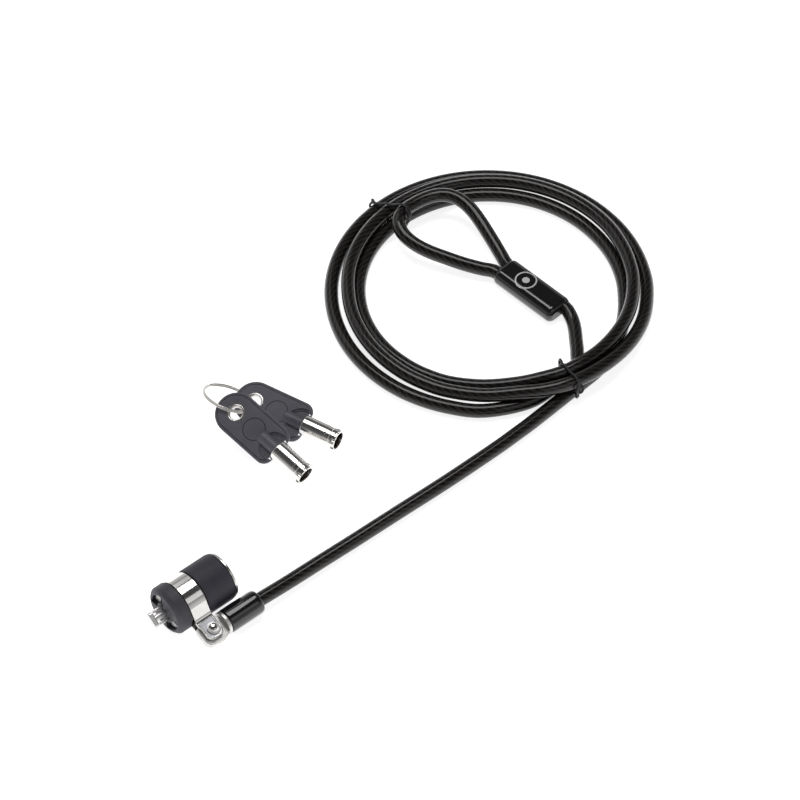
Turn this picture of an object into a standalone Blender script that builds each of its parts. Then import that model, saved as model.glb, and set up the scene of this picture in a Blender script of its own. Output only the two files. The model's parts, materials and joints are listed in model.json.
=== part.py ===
"""Laptop cable lock: T-bar lock head, riveted collar, coiled steel cable with an eye, and two tubular keys.

Lengths are written in millimetres and turned into metres by MM. The lock head lies on its side with its
axis along X, the T-bar pointing to -X and the keyway to +X. Places are given from the centre of the head's
nose and moved by SET_SHIFT, so that the origin is below the middle of the head and the keys, on the table.
"""
import math

import bmesh
import bpy
from mathutils import Matrix, Vector

MM = 0.001
TABLE_Z = 0.0

# Place of the nose's centre in the frame.
SET_SHIFT = Vector((-50.15, -27.62, 0.0))

# Lock head: radii, and stations along its axis counted from the nose's front face.
NOSE_R = 9.7
NOSE_LENGTH = 5.4
NOSE_CHAMFER = 1.4
BODY_R = 8.0
BODY_FRONT = 5.7
BODY_REAR = 25.9
BODY_BORE_R = 5.3
FACE_BORE_R = 6.5
FACE_SEAT = 21.0
GRIP_R = 9.6
GRIP_FRONT = 13.7
GRIP_REAR = 26.0
BEZEL_R = 9.4
BEZEL_FRONT = 26.2
HEAD_LENGTH = 27.3

# T-bar and the two pins that fill the slot beside its shaft.
T_TIP = -6.2
T_PLATE = (6.2, 2.9, 1.8)
T_SHAFT_R = 1.25
T_SHAFT_END = 18.7
T_ANGLE = math.radians(20)
GUIDE_PIN_R = 0.65
GUIDE_PIN_OFFSET = 2.5
WINDOW_R = (4.2, 7.4)
WINDOW_HALF_ANGLE = math.radians(40)
# The body's two bosses, which fill the windows to a little below the nose's face.
BOSS_FRONT = 1.6
BOSS_LENGTH = 4.6
BOSS_GAP_ANGLE = math.radians(4)

# Pin tumbler set: seven of eight stations on a circle.
TUMBLERS = 7
TUMBLER_STATIONS = 8
TUMBLER_PITCH_R = 3.8
PIN_R = 0.55
PIN_HOLE_R = 0.70
SHEAR_PLANE = 17.15
STATOR_FRONT = 8.7
ROTOR_REAR = 20.9
POST_R = 3.0
POST_REAR = 26.6
KEY_PIN_PROUD = (1.9, 1.2, 2.4, 1.5, 2.1, 1.0, 1.7)
DRIVER_LENGTH = 3.4
SPRING_TURNS = 4
SPRING_R = 0.38
SPRING_WIRE_R = 0.1

# Collar band with two ears, and the riveted cable fitting between them.
EAR_TILT = math.radians(18.5)
BAND_FRONT = 6.0
BAND_REAR = 13.2
BAND_R = (8.3, 9.25)
EAR_W = (1.9, 3.1)
EAR_BEND_U = (9.9, 10.2)
EAR_END_U = 19.2
EAR_CORNER = 2.2
RIVET_U = 15.5
RIVET_X = 10.2
RIVET_R = 1.5
RIVET_HOLE_R = 1.7
RIVET_DOME_R = 1.9
WASHER_R = 2.4
TONGUE_THICKNESS = 3.2
FLANGE_GAP = 4.9
FLANGE_LENGTH = 1.3
BOOT_R = 4.75
BARREL_R = 3.2
BOOT_LENGTH = 15.0

# Cable: PVC-coated steel rope, with its coil and its crimped eye.
CABLE_R = 2.75
COIL_CENTRE = (196.0, 46.0)
COIL_INNER_R = 46.2
COIL_OUTER_R = 64.0
FERRULE_CENTRE = (208.6, 34.6)
FERRULE_TURN = math.radians(4.8)
FERRULE_LENGTH = 31.0
FERRULE_WIDTH = 12.8
FERRULE_HEIGHT = 7.6
CRIMP_LENGTH = 27.0
CRIMP_WIDTH = 10.9
CRIMP_HEIGHT = 5.6
TIE_WIRE_R = 0.45
# Each tie's bearing on the coil in degrees, its height, and its room inside the coil.
TIES = ((-98, 11.9, 0.8), (94, 14.6, 2.4))
FACE_GAP = 0.3

# Keys: stations run from the eyelet towards the tip.
KEY_REACH = 36.7
KEY_WIDTH = 16.4
KEY_THICKNESS = 2.0
KEY_HEAD_END = 22.8
KEY_CORNER = 4.0
KEY_TUBE_R = 4.25
KEY_BORE_R = 3.35
KEY_TUBE_START = 21.8
KEY_BORE_DEPTH = 11.0
SHANK_R = 2.7
NOTCH_HALF_WIDTH = 4.9
EYELET_HOLE_R = 2.45
EYELET_LIP_R = 3.4
EYELET_SEAT_R = 2.95
# Each key's eyelet, then its bearing, pitch and roll in degrees.
KEY_PLACES = (((78.5, 55.7, 10.77), -83.3, 10.2, 24.5), ((90.3, 59.3, 5.05), -70.3, 1.2, 22))
KEY_RING_R = 10.0
KEY_RING_WIRE_R = 0.42
KEY_RING_CENTRE = (82.3, 65.01, 8.37)
KEY_RING_NORMAL = (0.5045, 0.0946, 0.8582)

# The cable's own points beside the coil, from the nose's centre.
LEAD_POINTS = (
    (31.9, -14.7, 4.8), (40, -14.7, 4.3), (50, -14.6, 3.5), (62, -14.6, 3.1), (76, -14.8, 2.8),
    (98, -15.2, 2.8), (122, -15.7, 2.8), (146, -15.6, 2.8), (157, -15.2, 2.8), (166.5, -14.7, 2.8),
)
TAIL_POINTS = (
    (212.8, 18.9, 3.8), (212.2, 16.4, 3.6), (210.8, 12.8, 3.2), (208.6, 9.2, 2.9), (205.4, 5.0, 2.8),
)
LOOP_POINTS = (
    (210.4, 51.1, 3.8), (211.4, 55.2, 4.2), (212.9, 61.3, 5.2), (214.3, 67.5, 6.2), (215.3, 73.0, 7.4),
    (215.8, 78.2, 8.6), (215.5, 83.3, 9.6), (213.9, 87.8, 10.3), (210.8, 91.2, 10.6), (206.0, 93.4, 10.6),
    (199.6, 94.4, 10.6), (193.4, 94.0, 10.6), (188.8, 91.2, 10.3), (186.6, 86.0, 9.4), (187.2, 80.0, 8.2),
    (189.6, 74.0, 7.0), (193.2, 67.6, 6.0), (197.0, 61.4, 5.0), (201.0, 55.8, 4.2), (204.3, 51.5, 3.8),
)


def millimetres(*values):
    return Vector(values) * MM


def placed(x, y, z):
    """A point counted from the nose's centre on the table, in the frame."""
    return (Vector((x, y, z)) + SET_SHIFT) * MM


def frame_of(origin, x_axis, y_axis):
    """A placement with its X and Y axes along the two directions given."""
    z_axis = x_axis.cross(y_axis)
    turn = Matrix((x_axis, y_axis, z_axis)).transposed()
    return Matrix.Translation(origin) @ turn.to_4x4()


# The head's own frame: local Z along the lock's axis, local X out to the ears, local Y down from the ears.
EAR_DIRECTION = Vector((0, -math.cos(EAR_TILT), -math.sin(EAR_TILT)))
EAR_DOWN = Vector((0, math.sin(EAR_TILT), -math.cos(EAR_TILT)))
HEAD = frame_of(placed(0, 0, NOSE_R), EAR_DIRECTION, EAR_DOWN)
# The fitting's frame: origin on the rivet, local X along the cable, local Y out, local Z down.
RIVET = HEAD @ Matrix.Translation(millimetres(RIVET_U, 0, RIVET_X))
FITTING = frame_of(RIVET.translation, Vector((1, 0, 0)), EAR_DIRECTION)


def material(name, colour, roughness, metallic=0.0):
    made = bpy.data.materials.new(name)
    made.use_nodes = True
    shader = made.node_tree.nodes["Principled BSDF"]
    shader.inputs["Base Color"].default_value = (*colour, 1)
    shader.inputs["Roughness"].default_value = roughness
    shader.inputs["Metallic"].default_value = metallic
    return made


def add(name, mesh, matrix, paint, group="laptop_cable_lock"):
    obj = bpy.data.objects.new(name, mesh)
    obj.matrix_world = matrix
    if paint:
        mesh.materials.append(paint)
    bpy.data.collections[group].objects.link(obj)
    return obj


def add_cutter(name, mesh, matrix):
    obj = add(name, mesh, matrix, None, "cutters")
    obj.hide_render = True
    obj.display_type = "WIRE"
    return obj


def combine(obj, others, operation="DIFFERENCE"):
    for other in others:
        step = obj.modifiers.new(other.name, "BOOLEAN")
        step.operation = operation
        step.object = other
    return obj


def bevel(obj, width, segments=2, angle=40):
    step = obj.modifiers.new("rounded edges", "BEVEL")
    step.width = width * MM
    step.segments = segments
    step.limit_method = "ANGLE"
    step.angle_limit = math.radians(angle)
    return obj


def turned_mesh(name, profile, closed):
    """(radius, station) pairs as a line of edges, which a Screw modifier turns about local Z."""
    mesh = bpy.data.meshes.new(name)
    count = len(profile)
    edges = [(i, (i + 1) % count) for i in range(count if closed else count - 1)]
    mesh.from_pydata([millimetres(r, 0, z) for r, z in profile], edges, [])
    return mesh


def turn(obj, steps):
    step = obj.modifiers.new("turned", "SCREW")
    step.steps = steps
    step.render_steps = steps
    step.use_merge_vertices = True
    step.merge_threshold = 0.00001
    return obj


def turned(name, profile, matrix, paint, steps=40, closed=False):
    """A turned piece. Its profile runs down the outer side, from high stations to low ones."""
    return turn(add(name, turned_mesh(name, profile, closed), matrix, paint), steps)


def ring(name, inner, outer, low, high, matrix, paint, steps, edge=0.2):
    """A turned ring, its outer edges cut off by edge."""
    profile = [(inner, high), (outer - edge, high), (outer, high - edge), (outer, low + edge),
               (outer - edge, low), (inner, low)]
    return turned(name, profile, matrix, paint, steps, closed=True)


def cylinder_mesh(name, radius, low, high, segments):
    mesh = bpy.data.meshes.new(name)
    build = bmesh.new()
    middle = Matrix.Translation(millimetres(0, 0, (low + high) / 2))
    bmesh.ops.create_cone(build, cap_ends=True, segments=segments, radius1=radius * MM,
                          radius2=radius * MM, depth=(high - low) * MM, matrix=middle)
    build.to_mesh(mesh)
    build.free()
    return mesh


def box_mesh(name, low, high):
    mesh = bpy.data.meshes.new(name)
    build = bmesh.new()
    low, high = Vector(low) * MM, Vector(high) * MM
    size = Matrix.Diagonal((high - low).to_4d())
    size[3][3] = 1
    bmesh.ops.create_cube(build, size=1, matrix=Matrix.Translation((low + high) / 2) @ size)
    build.to_mesh(mesh)
    build.free()
    return mesh


def arc(centre, radius, start, end, count):
    """Points along an arc, both ends in."""
    angles = [start + (end - start) * i / (count - 1) for i in range(count)]
    return [(centre[0] + radius * math.cos(a), centre[1] + radius * math.sin(a)) for a in angles]


def plate_mesh(name, outline, thickness):
    """A flat outline in local XY, filled and given its thickness either side of local Z = 0."""
    curve = bpy.data.curves.new(name, "CURVE")
    curve.dimensions = "2D"
    curve.fill_mode = "BOTH"
    curve.extrude = thickness / 2 * MM
    spline = curve.splines.new("POLY")
    spline.points.add(len(outline) - 1)
    for point, (x, y) in zip(spline.points, outline):
        point.co = (x * MM, y * MM, 0, 1)
    spline.use_cyclic_u = True
    return curve_to_mesh(name, curve)


def curve_to_mesh(name, curve):
    guide = bpy.data.objects.new(name + "_guide", curve)
    bpy.data.collections["cutters"].objects.link(guide)
    bpy.context.view_layer.update()
    evaluated = guide.evaluated_get(bpy.context.evaluated_depsgraph_get())
    mesh = bpy.data.meshes.new_from_object(evaluated)
    mesh.name = name
    build = bmesh.new()
    build.from_mesh(mesh)
    bmesh.ops.remove_doubles(build, verts=build.verts, dist=0.000001)
    bmesh.ops.recalc_face_normals(build, faces=build.faces)
    build.to_mesh(mesh)
    build.free()
    bpy.data.objects.remove(guide)
    return mesh


def rounded_outline(low, high, radius, count=5):
    """A rectangle with round corners, from its low corner to its high one."""
    (x0, y0), (x1, y1) = low, high
    centres = ((x1 - radius, y0 + radius), (x1 - radius, y1 - radius),
               (x0 + radius, y1 - radius), (x0 + radius, y0 + radius))
    outline = []
    for quarter, centre in enumerate(centres):
        start = math.radians(-90 + 90 * quarter)
        outline += arc(centre, radius, start, start + math.pi / 2, count)
    return outline


def tube(name, points, radius, paint, matrix=None, closed=False, sides=3):
    """A round wire along points in metres. sides is the bevel resolution, which gives 2 * sides + 4."""
    curve = bpy.data.curves.new(name, "CURVE")
    curve.dimensions = "3D"
    curve.bevel_depth = radius * MM
    curve.bevel_resolution = sides
    curve.use_fill_caps = not closed
    spline = curve.splines.new("POLY")
    spline.points.add(len(points) - 1)
    for point, place in zip(spline.points, points):
        point.co = (*place, 1)
    spline.use_cyclic_u = closed
    curve.materials.append(paint)
    obj = bpy.data.objects.new(name, curve)
    obj.matrix_world = matrix or Matrix()
    bpy.data.collections["laptop_cable_lock"].objects.link(obj)
    return obj


def smooth_route(points, spacing):
    """Even points along the smooth curve through the route's own points."""
    last = len(points) - 1
    fine = []
    for i in range(last):
        a, b, c, d = (points[min(max(i + k, 0), last)] for k in (-1, 0, 1, 2))
        for step in range(20):
            t = step / 20
            fine.append(0.5 * (2 * b + (c - a) * t + (2 * a - 5 * b + 4 * c - d) * t * t
                               + (3 * b - a - 3 * c + d) * t ** 3))
    fine.append(points[-1])
    total = sum((q - p).length for p, q in zip(fine, fine[1:]))
    steps = max(2, round(total / spacing))
    even, walked, target = [fine[0]], 0.0, total / steps
    for p, q in zip(fine, fine[1:]):
        length = (q - p).length
        while walked + length >= target * len(even) and len(even) < steps:
            even.append(p.lerp(q, (target * len(even) - walked) / length))
        walked += length
    return even + [points[-1]]


def clear_scene():
    for obj in list(bpy.data.objects):
        bpy.data.objects.remove(obj)
    for name in ("laptop_cable_lock", "cutters"):
        group = bpy.data.collections.new(name)
        bpy.context.scene.collection.children.link(group)


def tumbler_places():
    for i in range(TUMBLERS):
        angle = 2 * math.pi * i / TUMBLER_STATIONS
        yield i, HEAD @ Matrix.Translation(
            millimetres(TUMBLER_PITCH_R * math.cos(angle), TUMBLER_PITCH_R * math.sin(angle), 0))


def window_outline(middle, gap, gap_angle):
    """One arc window of the nose, drawn in by a gap all round."""
    low, high = middle - WINDOW_HALF_ANGLE + gap_angle, middle + WINDOW_HALF_ANGLE - gap_angle
    inner, outer = WINDOW_R[0] + gap, WINDOW_R[1] - gap
    return arc((0, 0), inner, low, high, 7) + arc((0, 0), outer, high, low, 9)


def make_nose(steel, zinc, black):
    """T-bar on its spindle, its two fixed guide pins, and the black guard round the body's bosses."""
    facing = HEAD @ Matrix.Rotation(T_ANGLE, 4, "Z")
    long_side, short_side, plate = T_PLATE
    shaft = cylinder_mesh("t_bar", T_SHAFT_R, T_TIP + plate / 2, T_SHAFT_END, 20)
    spindle = add("t_bar", shaft, facing, steel)
    outline = rounded_outline((-long_side / 2, -short_side / 2), (long_side / 2, short_side / 2), 1.0, 4)
    hammer = add_cutter("t_bar_plate", plate_mesh("t_bar_plate", outline, plate),
                        facing @ Matrix.Translation(millimetres(0, 0, T_TIP + plate / 2)))
    combine(spindle, [hammer], "UNION")
    profile = [(0, NOSE_LENGTH), (NOSE_R - 0.4, NOSE_LENGTH), (NOSE_R, NOSE_LENGTH - 0.4),
               (NOSE_R, NOSE_CHAMFER), (NOSE_R - NOSE_CHAMFER, 0), (0, 0)]
    guard = turned("nose_guard", profile, facing, black, 36)
    hole = cylinder_mesh("shaft_hole", T_SHAFT_R + 0.2, -1, 7, 20)
    cutters = [add_cutter("shaft_hole", hole, facing)]
    bosses = []
    for i, side in enumerate((1, -1)):
        across = facing @ Matrix.Translation(millimetres(side * GUIDE_PIN_OFFSET, 0, 0))
        pin = cylinder_mesh("guide_pin", GUIDE_PIN_R, -3.8, NOSE_LENGTH - 0.4, 16)
        add(f"guide_pin_{i + 1}", pin, across, steel)
        hole = cylinder_mesh("pin_hole", GUIDE_PIN_R + 0.15, -1, 7, 16)
        cutters.append(add_cutter(f"guide_pin_hole_{i}", hole, across))
        middle = 0 if side > 0 else math.pi
        window = plate_mesh("window", window_outline(middle, 0, 0), 14)
        cutters.append(add_cutter(f"window_{i}", window, facing))
        boss = plate_mesh("boss", window_outline(middle, FACE_GAP, BOSS_GAP_ANGLE), BOSS_LENGTH)
        bosses.append(add_cutter(f"boss_{i}", boss, facing @ Matrix.Translation(
            millimetres(0, 0, BOSS_FRONT + BOSS_LENGTH / 2))))
    combine(guard, cutters)
    profile = [(FACE_BORE_R, BODY_REAR), (BODY_R, BODY_REAR), (BODY_R, BODY_FRONT),
               (T_SHAFT_R + 0.2, BODY_FRONT), (T_SHAFT_R + 0.2, STATOR_FRONT - 0.3),
               (BODY_BORE_R, STATOR_FRONT - 0.3), (BODY_BORE_R, FACE_SEAT), (FACE_BORE_R, FACE_SEAT)]
    combine(turned("lock_body", profile, HEAD, zinc, 28, closed=True), bosses, "UNION")


def make_rear(chrome, rubber, steel):
    """Rubber grip, polished rear bezel and the ring that frames the keyway."""
    profile = [(BODY_R + 0.3, GRIP_REAR), (GRIP_R - 0.8, GRIP_REAR), (GRIP_R - 0.2, GRIP_REAR - 0.4),
               (GRIP_R, GRIP_REAR - 1.2), (GRIP_R, GRIP_FRONT + 0.5), (GRIP_R - 0.5, GRIP_FRONT),
               (BODY_R + 0.3, GRIP_FRONT)]
    turned("grip_sleeve", profile, HEAD, rubber, 32, closed=True)
    profile = [(FACE_BORE_R + 0.1, HEAD_LENGTH), (BEZEL_R - 0.9, HEAD_LENGTH),
               (BEZEL_R - 0.2, HEAD_LENGTH - 0.4), (BEZEL_R, BEZEL_FRONT + 0.3),
               (BEZEL_R, BEZEL_FRONT), (FACE_BORE_R + 0.1, BEZEL_FRONT)]
    turned("rear_bezel", profile, HEAD, chrome, 32, closed=True)
    face = ring("keyway_ring", KEY_TUBE_R + 0.25, FACE_BORE_R - 0.3, ROTOR_REAR + 0.4, HEAD_LENGTH - 0.2,
                HEAD, steel, 28)
    notch = box_mesh("keyway_notch", (4.0, -0.8, 25.0), (5.6, 0.8, 28.0))
    notch = add_cutter("keyway_notch", notch, HEAD)
    combine(face, [notch])


def make_tumblers(brass, steel):
    """Stator, rotor with its post, and seven stacks of key pin, driver pin and spring."""
    stator = ring("tumbler_stator", T_SHAFT_R + 0.2, BODY_BORE_R - 0.3, STATOR_FRONT, SHEAR_PLANE - 0.15,
                  HEAD, brass, 24)
    rotor_front = SHEAR_PLANE + 0.15
    profile = [(0, POST_REAR), (POST_R - 0.3, POST_REAR), (POST_R, POST_REAR - 0.3), (POST_R, ROTOR_REAR),
               (BODY_BORE_R - 0.3, ROTOR_REAR), (BODY_BORE_R - 0.3, rotor_front),
               (T_SHAFT_R + 0.2, rotor_front),
               (T_SHAFT_R + 0.2, T_SHAFT_END + 0.3), (0, T_SHAFT_END + 0.3)]
    rotor = turned("tumbler_rotor", profile, HEAD, brass, 24)
    stator_holes, rotor_holes = [], []
    spring_low = STATOR_FRONT + 1.4
    driver_low = rotor_front - 0.3 - DRIVER_LENGTH
    for i, station in tumbler_places():
        hole = cylinder_mesh("stator_hole", PIN_HOLE_R, STATOR_FRONT + 1.1, 19, 10)
        stator_holes.append(add_cutter(f"stator_hole_{i}", hole, station))
        hole = cylinder_mesh("rotor_hole", PIN_HOLE_R, 15, 23, 10)
        rotor_holes.append(add_cutter(f"rotor_hole_{i}", hole, station))
        pin = cylinder_mesh("key_pin", PIN_R, rotor_front + 0.05, ROTOR_REAR + KEY_PIN_PROUD[i], 10)
        add(f"key_pin_{i + 1}", pin, station, brass)
        pin = cylinder_mesh("driver_pin", PIN_R, driver_low, driver_low + DRIVER_LENGTH - 0.05, 10)
        add(f"driver_pin_{i + 1}", pin, station, steel)
        length = driver_low - 0.35 - spring_low
        turns = [i / 6 for i in range(6 * SPRING_TURNS + 1)]
        helix = [millimetres(SPRING_R * math.cos(2 * math.pi * t), SPRING_R * math.sin(2 * math.pi * t),
                             spring_low + length * t / SPRING_TURNS) for t in turns]
        tube(f"tumbler_spring_{i + 1}", helix, SPRING_WIRE_R, steel, station, sides=0)
    combine(stator, stator_holes)
    combine(rotor, rotor_holes)


def make_collar(chrome, steel):
    """The band round the head, with its two ears, and the rivet through them."""
    half = {}
    for name, radius, bend_u, ear_w in (("in", BAND_R[0], EAR_BEND_U[0], EAR_W[0]),
                                        ("out", BAND_R[1], EAR_BEND_U[1], EAR_W[1])):
        reach = math.hypot(bend_u, ear_w)
        half[name] = math.atan2(ear_w, bend_u) + math.acos(radius / reach)
    outline = [(EAR_END_U, EAR_W[0]), (EAR_BEND_U[0], EAR_W[0])]
    outline += arc((0, 0), BAND_R[0], half["in"], 2 * math.pi - half["in"], 36)
    outline += [(EAR_BEND_U[0], -EAR_W[0]), (EAR_END_U, -EAR_W[0]), (EAR_END_U, -EAR_W[1]),
                (EAR_BEND_U[1], -EAR_W[1])]
    outline += arc((0, 0), BAND_R[1], 2 * math.pi - half["out"], half["out"], 40)
    outline += [(EAR_BEND_U[1], EAR_W[1]), (EAR_END_U, EAR_W[1])]
    middle = HEAD @ Matrix.Translation(millimetres(0, 0, (BAND_FRONT + BAND_REAR) / 2))
    band = add("collar_band", plate_mesh("collar_band", outline, BAND_REAR - BAND_FRONT), middle, chrome)
    round_ear_corners(band)
    hole = add_cutter("ear_hole", cylinder_mesh("ear_hole", RIVET_HOLE_R, -5, 5, 20), FITTING)
    combine(band, [hole])
    washer_low = EAR_W[1] + 0.1
    dome_low = washer_low + 0.55
    profile = [(0, dome_low + 0.9), (0.9, dome_low + 0.75), (1.6, dome_low + 0.4), (RIVET_DOME_R, dome_low),
               (RIVET_R, dome_low), (RIVET_R, -EAR_W[1] - 0.1), (RIVET_DOME_R, -EAR_W[1] - 0.1),
               (RIVET_DOME_R - 0.3, -EAR_W[1] - 0.6), (0, -EAR_W[1] - 0.6)]
    up = FITTING @ Matrix.Rotation(math.pi, 4, "X")
    turned("collar_rivet", profile, up, steel, 20)
    ring("rivet_washer", RIVET_HOLE_R, WASHER_R, washer_low, washer_low + 0.45, up, steel, 20, 0.12)


def round_ear_corners(band):
    """Marks the four edges across the ears' outer corners and rounds them."""
    build = bmesh.new()
    build.from_mesh(band.data)
    weight = build.edges.layers.float.new("bevel_weight_edge")
    for edge in build.edges:
        a, b = (v.co for v in edge.verts)
        at_end = min(a.x, b.x) > (EAR_END_U - 0.01) * MM
        if at_end and abs(a.z - b.z) < 0.01 * MM and abs(a.y - b.y) < 2 * MM:
            edge[weight] = 1.0
    build.to_mesh(band.data)
    build.free()
    step = band.modifiers.new("ear corners", "BEVEL")
    step.width = EAR_CORNER * MM
    step.segments = 4
    step.limit_method = "WEIGHT"


def make_fitting(zinc, glossy):
    """Die-cast tongue with its flange and barrel, and the boot moulded over the barrel."""
    outline = rounded_outline((-5.2, -4.4), (FLANGE_GAP + 0.4, 5.2), 3.0)
    tongue = add("cable_fitting", plate_mesh("cable_fitting", outline, TONGUE_THICKNESS), FITTING, zinc)
    along = FITTING @ Matrix.Rotation(math.pi / 2, 4, "Y")
    flange = cylinder_mesh("fitting_flange", BOOT_R - 0.1, FLANGE_GAP, FLANGE_GAP + FLANGE_LENGTH, 28)
    flange = add_cutter("fitting_flange", flange, along)
    barrel_high = FLANGE_GAP + FLANGE_LENGTH + 9.5
    barrel = cylinder_mesh("fitting_barrel", BARREL_R, FLANGE_GAP + 0.5, barrel_high, 20)
    barrel = add_cutter("fitting_barrel", barrel, along)
    hole = cylinder_mesh("tongue_hole", RIVET_HOLE_R, -3, 3, 20)
    hole = add_cutter("tongue_hole", hole, FITTING)
    combine(tongue, [flange, barrel], "UNION")
    combine(tongue, [hole])
    low = FLANGE_GAP + FLANGE_LENGTH + 0.3
    high = low + BOOT_LENGTH
    bore, mouth = BARREL_R + 0.2, CABLE_R + 0.15
    rounding = [(BOOT_R - 2.0 + 2.0 * math.cos(a), high - 2.0 + 2.0 * math.sin(a))
                for a in (math.radians(d) for d in (75, 55, 35, 15))]
    profile = [(mouth, high), *rounding, (BOOT_R, high - 3.0), (BOOT_R, low + 0.3), (BOOT_R - 0.3, low),
               (bore, low), (bore, barrel_high + 0.3), (mouth, barrel_high + 0.8)]
    turned("cable_boot", profile, along, glossy, 24, closed=True)


def make_cable(jacket, black):
    """The lead, the coil's outer shape, the tail, the eye and the two ties round the coil."""
    for name, points, spacing in (("cable_lead", LEAD_POINTS, 12.0), ("cable_tail", TAIL_POINTS, 3.5),
                                  ("cable_loop", LOOP_POINTS, 8.0)):
        tube(name, smooth_route([placed(*p) for p in points], spacing * MM), CABLE_R, jacket, sides=2)
    centre = Matrix.Translation(placed(*COIL_CENTRE, 0))
    inner, outer = COIL_INNER_R, COIL_OUTER_R
    profile = [(52.4, 8.2), (58.2, 8.4), (outer - 1.6, 5.9), (outer, 4.6), (outer, 1.6), (outer - 1.6, 0),
               (inner + 1.6, 0), (inner, 1.6), (inner, 4.4), (inner + 1.2, 5.6)]
    coil = turned("cable_coil", profile, centre, jacket, 48, closed=True)
    grooves = []
    for i, (bearing, height, room) in enumerate(TIES):
        across = centre @ Matrix.Rotation(math.radians(bearing), 4, "Z")
        groove_top = 2 * TIE_WIRE_R + 0.3
        groove = box_mesh(f"tie_groove_{i}", (inner - 3, -1.0, -1), (outer + 3, 1.0, groove_top))
        grooves.append(add_cutter(f"tie_groove_{i}", groove, across))
        outline = rounded_outline((inner - room, TIE_WIRE_R), (outer + 0.8, height), 1.6, 4)
        wire = [millimetres(r, 0, z) for r, z in outline]
        tube(f"cable_tie_{i + 1}", wire, TIE_WIRE_R, black, across, closed=True, sides=1)
    combine(coil, grooves)


def make_ferrule(aluminium, glossy):
    """The crimped sleeve over both strands of the eye, and its glossy cover."""
    side = Vector((math.cos(FERRULE_TURN), math.sin(FERRULE_TURN), 0))
    place = frame_of(placed(*FERRULE_CENTRE, FERRULE_HEIGHT / 2), side, Vector((0, 0, 1)))

    def oval(name, width, height, length):
        corner = (width / 2, height / 2)
        outline = rounded_outline((-corner[0], -corner[1]), corner, height / 2 - 0.01, 7)
        return plate_mesh(name, outline, length)

    sleeve = oval("crimp_sleeve", CRIMP_WIDTH, CRIMP_HEIGHT, CRIMP_LENGTH)
    add("crimp_sleeve", sleeve, place, aluminium)
    shell = oval("ferrule_cover", FERRULE_WIDTH, FERRULE_HEIGHT, FERRULE_LENGTH)
    cover = add("ferrule_cover", shell, place, glossy)
    bevel(cover, 1.0, 2)
    hollow = oval("ferrule_hollow", CRIMP_WIDTH + 0.5, CRIMP_HEIGHT + 0.5, 40)
    hollow = add_cutter("ferrule_hollow", hollow, place)
    combine(cover, [hollow])


def key_frame(eyelet, bearing, pitch, roll):
    """A key's frame: origin in the eyelet, local X to the tip, local Z up through the head."""
    lean = Matrix.Rotation(pitch, 4, "Y") @ Matrix.Rotation(roll, 4, "X")
    return Matrix.Translation(placed(*eyelet)) @ Matrix.Rotation(bearing, 4, "Z") @ lean


def make_key(number, place, plastic, chrome, nickel):
    """Moulded bow with its shank, the metal eyelet and the notched tube."""
    half = KEY_WIDTH / 2
    outline = arc((0, 0), half, math.pi / 2, math.pi * 3 / 2, 13)
    corner = (KEY_HEAD_END - KEY_CORNER, half - KEY_CORNER)
    outline += arc((corner[0], -corner[1]), KEY_CORNER, -math.pi / 2, 0, 5)
    mouth_x = KEY_HEAD_END - 2.6
    outline += [(KEY_HEAD_END, -NOTCH_HALF_WIDTH)]
    outline += arc((mouth_x, 0), NOTCH_HALF_WIDTH, -math.pi / 2, -math.pi * 3 / 2, 11)
    outline += [(KEY_HEAD_END, NOTCH_HALF_WIDTH)]
    outline += arc(corner, KEY_CORNER, 0, math.pi / 2, 5)
    head = add(f"key_{number}_head", plate_mesh("key_head", outline, KEY_THICKNESS), place, plastic)
    bevel(head, 0.35, 1, 50)
    along = place @ Matrix.Rotation(math.pi / 2, 4, "Y")
    shank = cylinder_mesh("key_shank", SHANK_R, 13.6, KEY_TUBE_START + 2.5, 20)
    shank = add_cutter(f"key_{number}_shank", shank, along)
    seat = cylinder_mesh("eyelet_seat", EYELET_SEAT_R + 0.15, -3, 3, 20)
    seat = add_cutter(f"key_{number}_seat", seat, place)
    combine(head, [shank], "UNION")
    combine(head, [seat])
    under = KEY_THICKNESS / 2 + 0.06
    lip = KEY_THICKNESS / 2 + 0.2
    flare = 0.5
    upper = [(EYELET_HOLE_R, lip - flare), (EYELET_HOLE_R + flare, lip), (EYELET_LIP_R, lip - 0.04),
             (EYELET_LIP_R, under), (EYELET_SEAT_R, under)]
    profile = upper + [(r, -h) for r, h in reversed(upper)]
    turned(f"key_{number}_eyelet", profile, place, nickel, 20, closed=True)
    tip, start = KEY_REACH, KEY_TUBE_START
    wall = [(KEY_BORE_R, tip), (KEY_TUBE_R - 0.3, tip), (KEY_TUBE_R, tip - 0.3), (KEY_TUBE_R, start + 0.4),
            (KEY_TUBE_R - 0.4, start), (SHANK_R + 0.15, start), (SHANK_R + 0.15, start + 2.8),
            (0, start + 2.8)]
    floor = [(0, tip - KEY_BORE_DEPTH), (KEY_BORE_R, tip - KEY_BORE_DEPTH)]
    tube_body = turned(f"key_{number}_tube", wall + floor, along, chrome, 24, closed=True)
    notches = []
    for i in range(TUMBLERS):
        angle = 2 * math.pi * (i + 0.5) / TUMBLER_STATIONS
        depth = 0.5 + KEY_PIN_PROUD[i] / 2
        reach = Matrix.Translation(millimetres(TUMBLER_PITCH_R + 0.5, 0, 0))
        spot = along @ Matrix.Rotation(angle, 4, "Z") @ reach
        notch = cylinder_mesh("notch", 0.8, tip - depth, tip + 1, 8)
        notches.append(add_cutter(f"key_{number}_notch_{i}", notch, spot))
    combine(tube_body, notches)


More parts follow.
